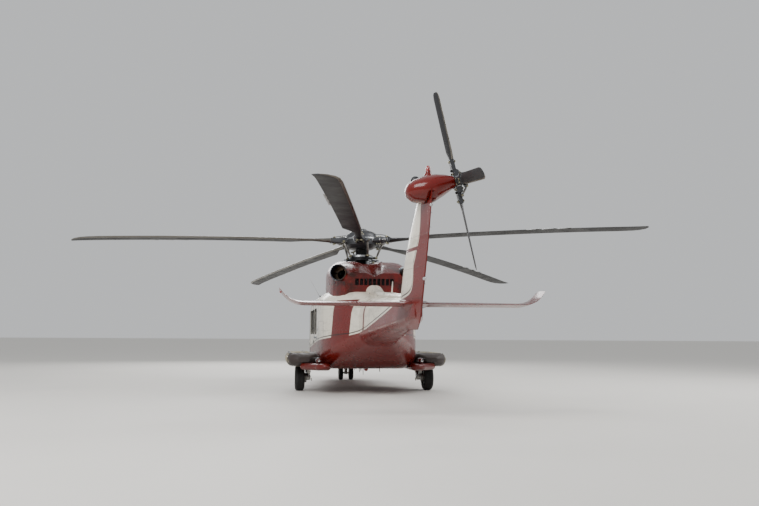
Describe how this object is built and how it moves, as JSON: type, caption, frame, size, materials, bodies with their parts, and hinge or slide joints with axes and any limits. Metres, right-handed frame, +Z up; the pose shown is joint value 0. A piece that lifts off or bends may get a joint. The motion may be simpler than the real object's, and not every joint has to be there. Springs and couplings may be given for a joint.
{
  "type": "twin-engine utility helicopter with a five-blade main rotor, parked on its wheels",
  "caption": "Twin-engine helicopter on wheels: tilted main rotor, canted tail rotor, hollow cockpit and cabin, hinged cockpit doors, steered twin nose wheel.",
  "frame": {"origin": "on the ground, under the middle of the whole box with the rotors as parked; the rotor hub and the fuselage's centre plane are 0.43 m to starboard of it and the hub is 1.71 m ahead of it", "axes": "+Y towards the tail, along the fuselage; +X towards the port side; +Z up"},
  "size_m": [12.8405, 15.999, 4.8845],
  "materials": {
    "pale_paint": "gloss",
    "red_paint": "gloss",
    "dark_paint": "gloss",
    "composite_nose": "gloss",
    "float_cover": "matte",
    "rotor_blade": "satin",
    "rotor_metal": "satin",
    "gear_metal": "satin",
    "engine_metal": "satin",
    "exhaust_metal": "satin",
    "glazing": "gloss",
    "tyre": "matte",
    "seat_fabric": "matte",
    "panel_plastic": "matte"
  },
  "bodies": {
    "airframe": {"nose_cone": "composite_nose", "cabin_floor": "pale_paint", "cabin_roof": "pale_paint", "cockpit_frame": "pale_paint", "side_frame_port": "pale_paint", "side_frame_starboard": "pale_paint", "cabin_door_port": "pale_paint", "cabin_door_starboard": "pale_paint", "windscreen": "glazing", "cabin_door_windows_port": "glazing", "cabin_door_windows_starboard": "glazing", "rear_window_port": "glazing", "rear_window_starboard": "glazing", "instrument_panel": "panel_plastic", "pilot_seat_port": "seat_fabric", "pilot_seat_starboard": "seat_fabric", "cabin_seats": "seat_fabric", "rear_fuselage": "dark_paint", "tail_boom": "red_paint", "drive_shaft_cover": "pale_paint", "tail_fin": "red_paint", "tail_gearbox_fairing": "red_paint", "stabiliser_port": "red_paint", "stabiliser_starboard": "red_paint", "transmission_cowling": "red_paint", "engine_cowling_port": "red_paint", "engine_cowling_starboard": "red_paint", "exhaust_port": "exhaust_metal", "exhaust_starboard": "exhaust_metal", "engines_and_gearbox": "engine_metal", "sponson_port": "dark_paint", "sponson_starboard": "dark_paint", "float_pod_port": "float_cover", "float_pod_starboard": "float_cover", "main_gear_leg_port": "gear_metal", "main_gear_leg_starboard": "gear_metal", "nose_gear_leg": "gear_metal"},
    "main_rotor": {"rotor_hub": "rotor_metal", "main_blade_1": "rotor_blade", "main_blade_2": "rotor_blade", "main_blade_3": "rotor_blade", "main_blade_4": "rotor_blade", "main_blade_5": "rotor_blade"},
    "tail_rotor": {"tail_rotor_hub": "rotor_metal", "tail_blade_1": "rotor_blade", "tail_blade_2": "rotor_blade", "tail_blade_3": "rotor_blade", "tail_blade_4": "rotor_blade"},
    "cockpit_door_port_leaf": {"cockpit_door_port": "pale_paint", "cockpit_door_window_port": "glazing"},
    "cockpit_door_starboard_leaf": {"cockpit_door_starboard": "pale_paint", "cockpit_door_window_starboard": "glazing"},
    "nose_steering": {"nose_steering_fork": "gear_metal"},
    "nose_wheels": {"nose_wheel_rims": "gear_metal", "nose_tyre_port": "tyre", "nose_tyre_starboard": "tyre"},
    "main_wheel_port": {"main_rim_port": "gear_metal", "main_tyre_port": "tyre"},
    "main_wheel_starboard": {"main_rim_starboard": "gear_metal", "main_tyre_starboard": "tyre"}
  },
  "joints": [
    {"name": "main_rotor_spin", "type": "hinge", "parent": "airframe", "child": "main_rotor", "pos_m": [-0.43, -1.71, 3.655], "axis": [0, -0.0785, 0.9969], "continuous": true},
    {"name": "tail_rotor_spin", "type": "hinge", "parent": "airframe", "child": "tail_rotor", "pos_m": [-0.84, 6.58, 3.586], "axis": [-0.9664, 0, 0.2571], "continuous": true},
    {"name": "cockpit_door_port_swing", "type": "hinge", "parent": "airframe", "child": "cockpit_door_port_leaf", "pos_m": [0.632, -5.107, 1.1], "axis": [0, 0, -1], "range_deg": [0, 70]},
    {"name": "cockpit_door_starboard_swing", "type": "hinge", "parent": "airframe", "child": "cockpit_door_starboard_leaf", "pos_m": [-1.492, -5.107, 1.1], "axis": [0, 0, 1], "range_deg": [0, 70]},
    {"name": "nose_steering_turn", "type": "hinge", "parent": "airframe", "child": "nose_steering", "pos_m": [-0.43, -5.29, 0.36], "axis": [0, 0, 1], "range_deg": [-65, 65]},
    {"name": "nose_wheels_roll", "type": "hinge", "parent": "nose_steering", "child": "nose_wheels", "pos_m": [-0.43, -5.24, 0.2], "axis": [1, 0, 0], "continuous": true},
    {"name": "main_wheel_port_roll", "type": "hinge", "parent": "airframe", "child": "main_wheel_port", "pos_m": [1.105, -0.91, 0.3], "axis": [1, 0, 0], "continuous": true},
    {"name": "main_wheel_starboard_roll", "type": "hinge", "parent": "airframe", "child": "main_wheel_starboard", "pos_m": [-1.965, -0.91, 0.3], "axis": [1, 0, 0], "continuous": true}
  ]
}
